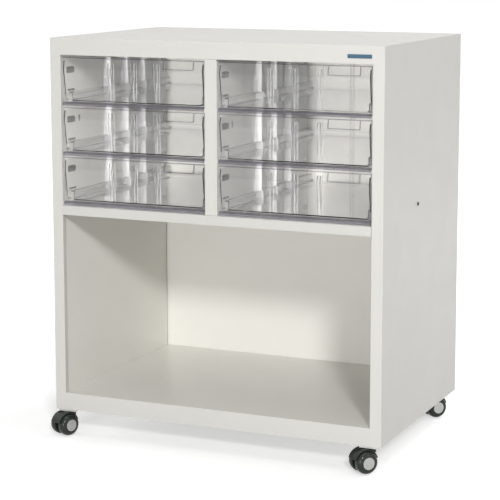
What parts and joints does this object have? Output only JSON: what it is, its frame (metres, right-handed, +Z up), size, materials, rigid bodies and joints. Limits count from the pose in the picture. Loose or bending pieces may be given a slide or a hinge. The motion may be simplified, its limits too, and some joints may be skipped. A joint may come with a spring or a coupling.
{
  "type": "steel storage cabinet",
  "caption": "Low wheeled steel cabinet with rows of clear pull-out drawers above an open bay, on swivelling twin-wheel casters.",
  "frame": {"origin": "on the floor under the middle of the case", "axes": "+X to the right seen from the front, +Y to the back, +Z up; the drawer fronts face -Y"},
  "size_m": [0.6092, 0.4428, 0.69],
  "materials": {
    "painted_steel": "light warm grey powder coat, semi-matt",
    "runner_steel": "plain galvanised",
    "zinc_steel": "zinc plated",
    "dark_steel": "blackened",
    "clear_plastic": "clear, polished",
    "black_plastic": "moulded, semi-gloss",
    "hub_cap": "light grey, glossy"
  },
  "bodies": {
    "cabinet": {"back_panel": "painted_steel", "bay_floor": "painted_steel", "bottom_plate": "painted_steel", "centre_partition": "painted_steel", "front_left_caster_plate": "zinc_steel", "front_right_caster_plate": "zinc_steel", "left_inner_runner_bottom": "runner_steel", "left_inner_runner_middle": "runner_steel", "left_inner_runner_top": "runner_steel", "left_liner": "painted_steel", "left_outer_runner_bottom": "runner_steel", "left_outer_runner_middle": "runner_steel", "left_outer_runner_top": "runner_steel", "left_side_panel": "painted_steel", "left_side_screw": "dark_steel", "middle_shelf": "painted_steel", "rear_left_caster_plate": "zinc_steel", "rear_right_caster_plate": "zinc_steel", "right_inner_runner_bottom": "runner_steel", "right_inner_runner_middle": "runner_steel", "right_inner_runner_top": "runner_steel", "right_liner": "painted_steel", "right_outer_runner_bottom": "runner_steel", "right_outer_runner_middle": "runner_steel", "right_outer_runner_top": "runner_steel", "right_side_panel": "painted_steel", "right_side_screw": "dark_steel", "top_panel": "painted_steel"},
    "left_drawer_bottom": {"left_drawer_bottom": "clear_plastic"},
    "left_drawer_middle": {"left_drawer_middle": "clear_plastic"},
    "left_drawer_top": {"left_drawer_top": "clear_plastic"},
    "right_drawer_bottom": {"right_drawer_bottom": "clear_plastic"},
    "right_drawer_middle": {"right_drawer_middle": "clear_plastic"},
    "right_drawer_top": {"right_drawer_top": "clear_plastic"},
    "front_left_caster": {"front_left_hood": "black_plastic", "front_left_axle": "zinc_steel"},
    "front_left_roller_1": {"front_left_wheel_1": "black_plastic", "front_left_cap_1": "hub_cap"},
    "front_left_roller_2": {"front_left_wheel_2": "black_plastic", "front_left_cap_2": "hub_cap"},
    "front_right_caster": {"front_right_hood": "black_plastic", "front_right_axle": "zinc_steel"},
    "front_right_roller_1": {"front_right_wheel_1": "black_plastic", "front_right_cap_1": "hub_cap"},
    "front_right_roller_2": {"front_right_wheel_2": "black_plastic", "front_right_cap_2": "hub_cap"},
    "rear_left_caster": {"rear_left_hood": "black_plastic", "rear_left_axle": "zinc_steel"},
    "rear_left_roller_1": {"rear_left_wheel_1": "black_plastic", "rear_left_cap_1": "hub_cap"},
    "rear_left_roller_2": {"rear_left_wheel_2": "black_plastic", "rear_left_cap_2": "hub_cap"},
    "rear_right_caster": {"rear_right_hood": "black_plastic", "rear_right_axle": "zinc_steel"},
    "rear_right_roller_1": {"rear_right_wheel_1": "black_plastic", "rear_right_cap_1": "hub_cap"},
    "rear_right_roller_2": {"rear_right_wheel_2": "black_plastic", "rear_right_cap_2": "hub_cap"}
  },
  "joints": [
    {"name": "left_drawer_bottom_slide", "type": "slide", "parent": "cabinet", "child": "left_drawer_bottom", "axis": [0, -1, 0], "range_m": [0, 0.326]},
    {"name": "left_drawer_middle_slide", "type": "slide", "parent": "cabinet", "child": "left_drawer_middle", "axis": [0, -1, 0], "range_m": [0, 0.326]},
    {"name": "left_drawer_top_slide", "type": "slide", "parent": "cabinet", "child": "left_drawer_top", "axis": [0, -1, 0], "range_m": [0, 0.326]},
    {"name": "right_drawer_bottom_slide", "type": "slide", "parent": "cabinet", "child": "right_drawer_bottom", "axis": [0, -1, 0], "range_m": [0, 0.326]},
    {"name": "right_drawer_middle_slide", "type": "slide", "parent": "cabinet", "child": "right_drawer_middle", "axis": [0, -1, 0], "range_m": [0, 0.326]},
    {"name": "right_drawer_top_slide", "type": "slide", "parent": "cabinet", "child": "right_drawer_top", "axis": [0, -1, 0], "range_m": [0, 0.326]},
    {"name": "front_left_caster_swivel", "type": "hinge", "parent": "cabinet", "child": "front_left_caster", "pos_m": [-0.2785, -0.183, 0.045], "axis": [0, 0, 1], "continuous": true},
    {"name": "front_left_roller_1_spin", "type": "hinge", "parent": "front_left_caster", "child": "front_left_roller_1", "pos_m": [-0.28449, -0.19784, 0.019], "axis": [-0.9272, 0.3746, 0], "continuous": true},
    {"name": "front_left_roller_2_spin", "type": "hinge", "parent": "front_left_caster", "child": "front_left_roller_2", "pos_m": [-0.28449, -0.19784, 0.019], "axis": [-0.9272, 0.3746, 0], "continuous": true},
    {"name": "front_right_caster_swivel", "type": "hinge", "parent": "cabinet", "child": "front_right_caster", "pos_m": [0.2785, -0.183, 0.045], "axis": [0, 0, 1], "continuous": true},
    {"name": "front_right_roller_1_spin", "type": "hinge", "parent": "front_right_caster", "child": "front_right_roller_1", "pos_m": [0.26821, -0.19526, 0.019], "axis": [-0.766, 0.6428, 0], "continuous": true},
    {"name": "front_right_roller_2_spin", "type": "hinge", "parent": "front_right_caster", "child": "front_right_roller_2", "pos_m": [0.26821, -0.19526, 0.019], "axis": [-0.766, 0.6428, 0], "continuous": true},
    {"name": "rear_left_caster_swivel", "type": "hinge", "parent": "cabinet", "child": "rear_left_caster", "pos_m": [-0.2785, 0.183, 0.045], "axis": [0, 0, 1], "continuous": true},
    {"name": "rear_left_roller_1_spin", "type": "hinge", "parent": "rear_left_caster", "child": "rear_left_roller_1", "pos_m": [-0.28128, 0.19876, 0.019], "axis": [0.9848, 0.1736, 0], "continuous": true},
    {"name": "rear_left_roller_2_spin", "type": "hinge", "parent": "rear_left_caster", "child": "rear_left_roller_2", "pos_m": [-0.28128, 0.19876, 0.019], "axis": [0.9848, 0.1736, 0], "continuous": true},
    {"name": "rear_right_caster_swivel", "type": "hinge", "parent": "cabinet", "child": "rear_right_caster", "pos_m": [0.2785, 0.183, 0.045], "axis": [0, 0, 1], "continuous": true},
    {"name": "rear_right_roller_1_spin", "type": "hinge", "parent": "rear_right_caster", "child": "rear_right_roller_1", "pos_m": [0.26821, 0.17074, 0.019], "axis": [-0.766, 0.6428, 0], "continuous": true},
    {"name": "rear_right_roller_2_spin", "type": "hinge", "parent": "rear_right_caster", "child": "rear_right_roller_2", "pos_m": [0.26821, 0.17074, 0.019], "axis": [-0.766, 0.6428, 0], "continuous": true}
  ]
}
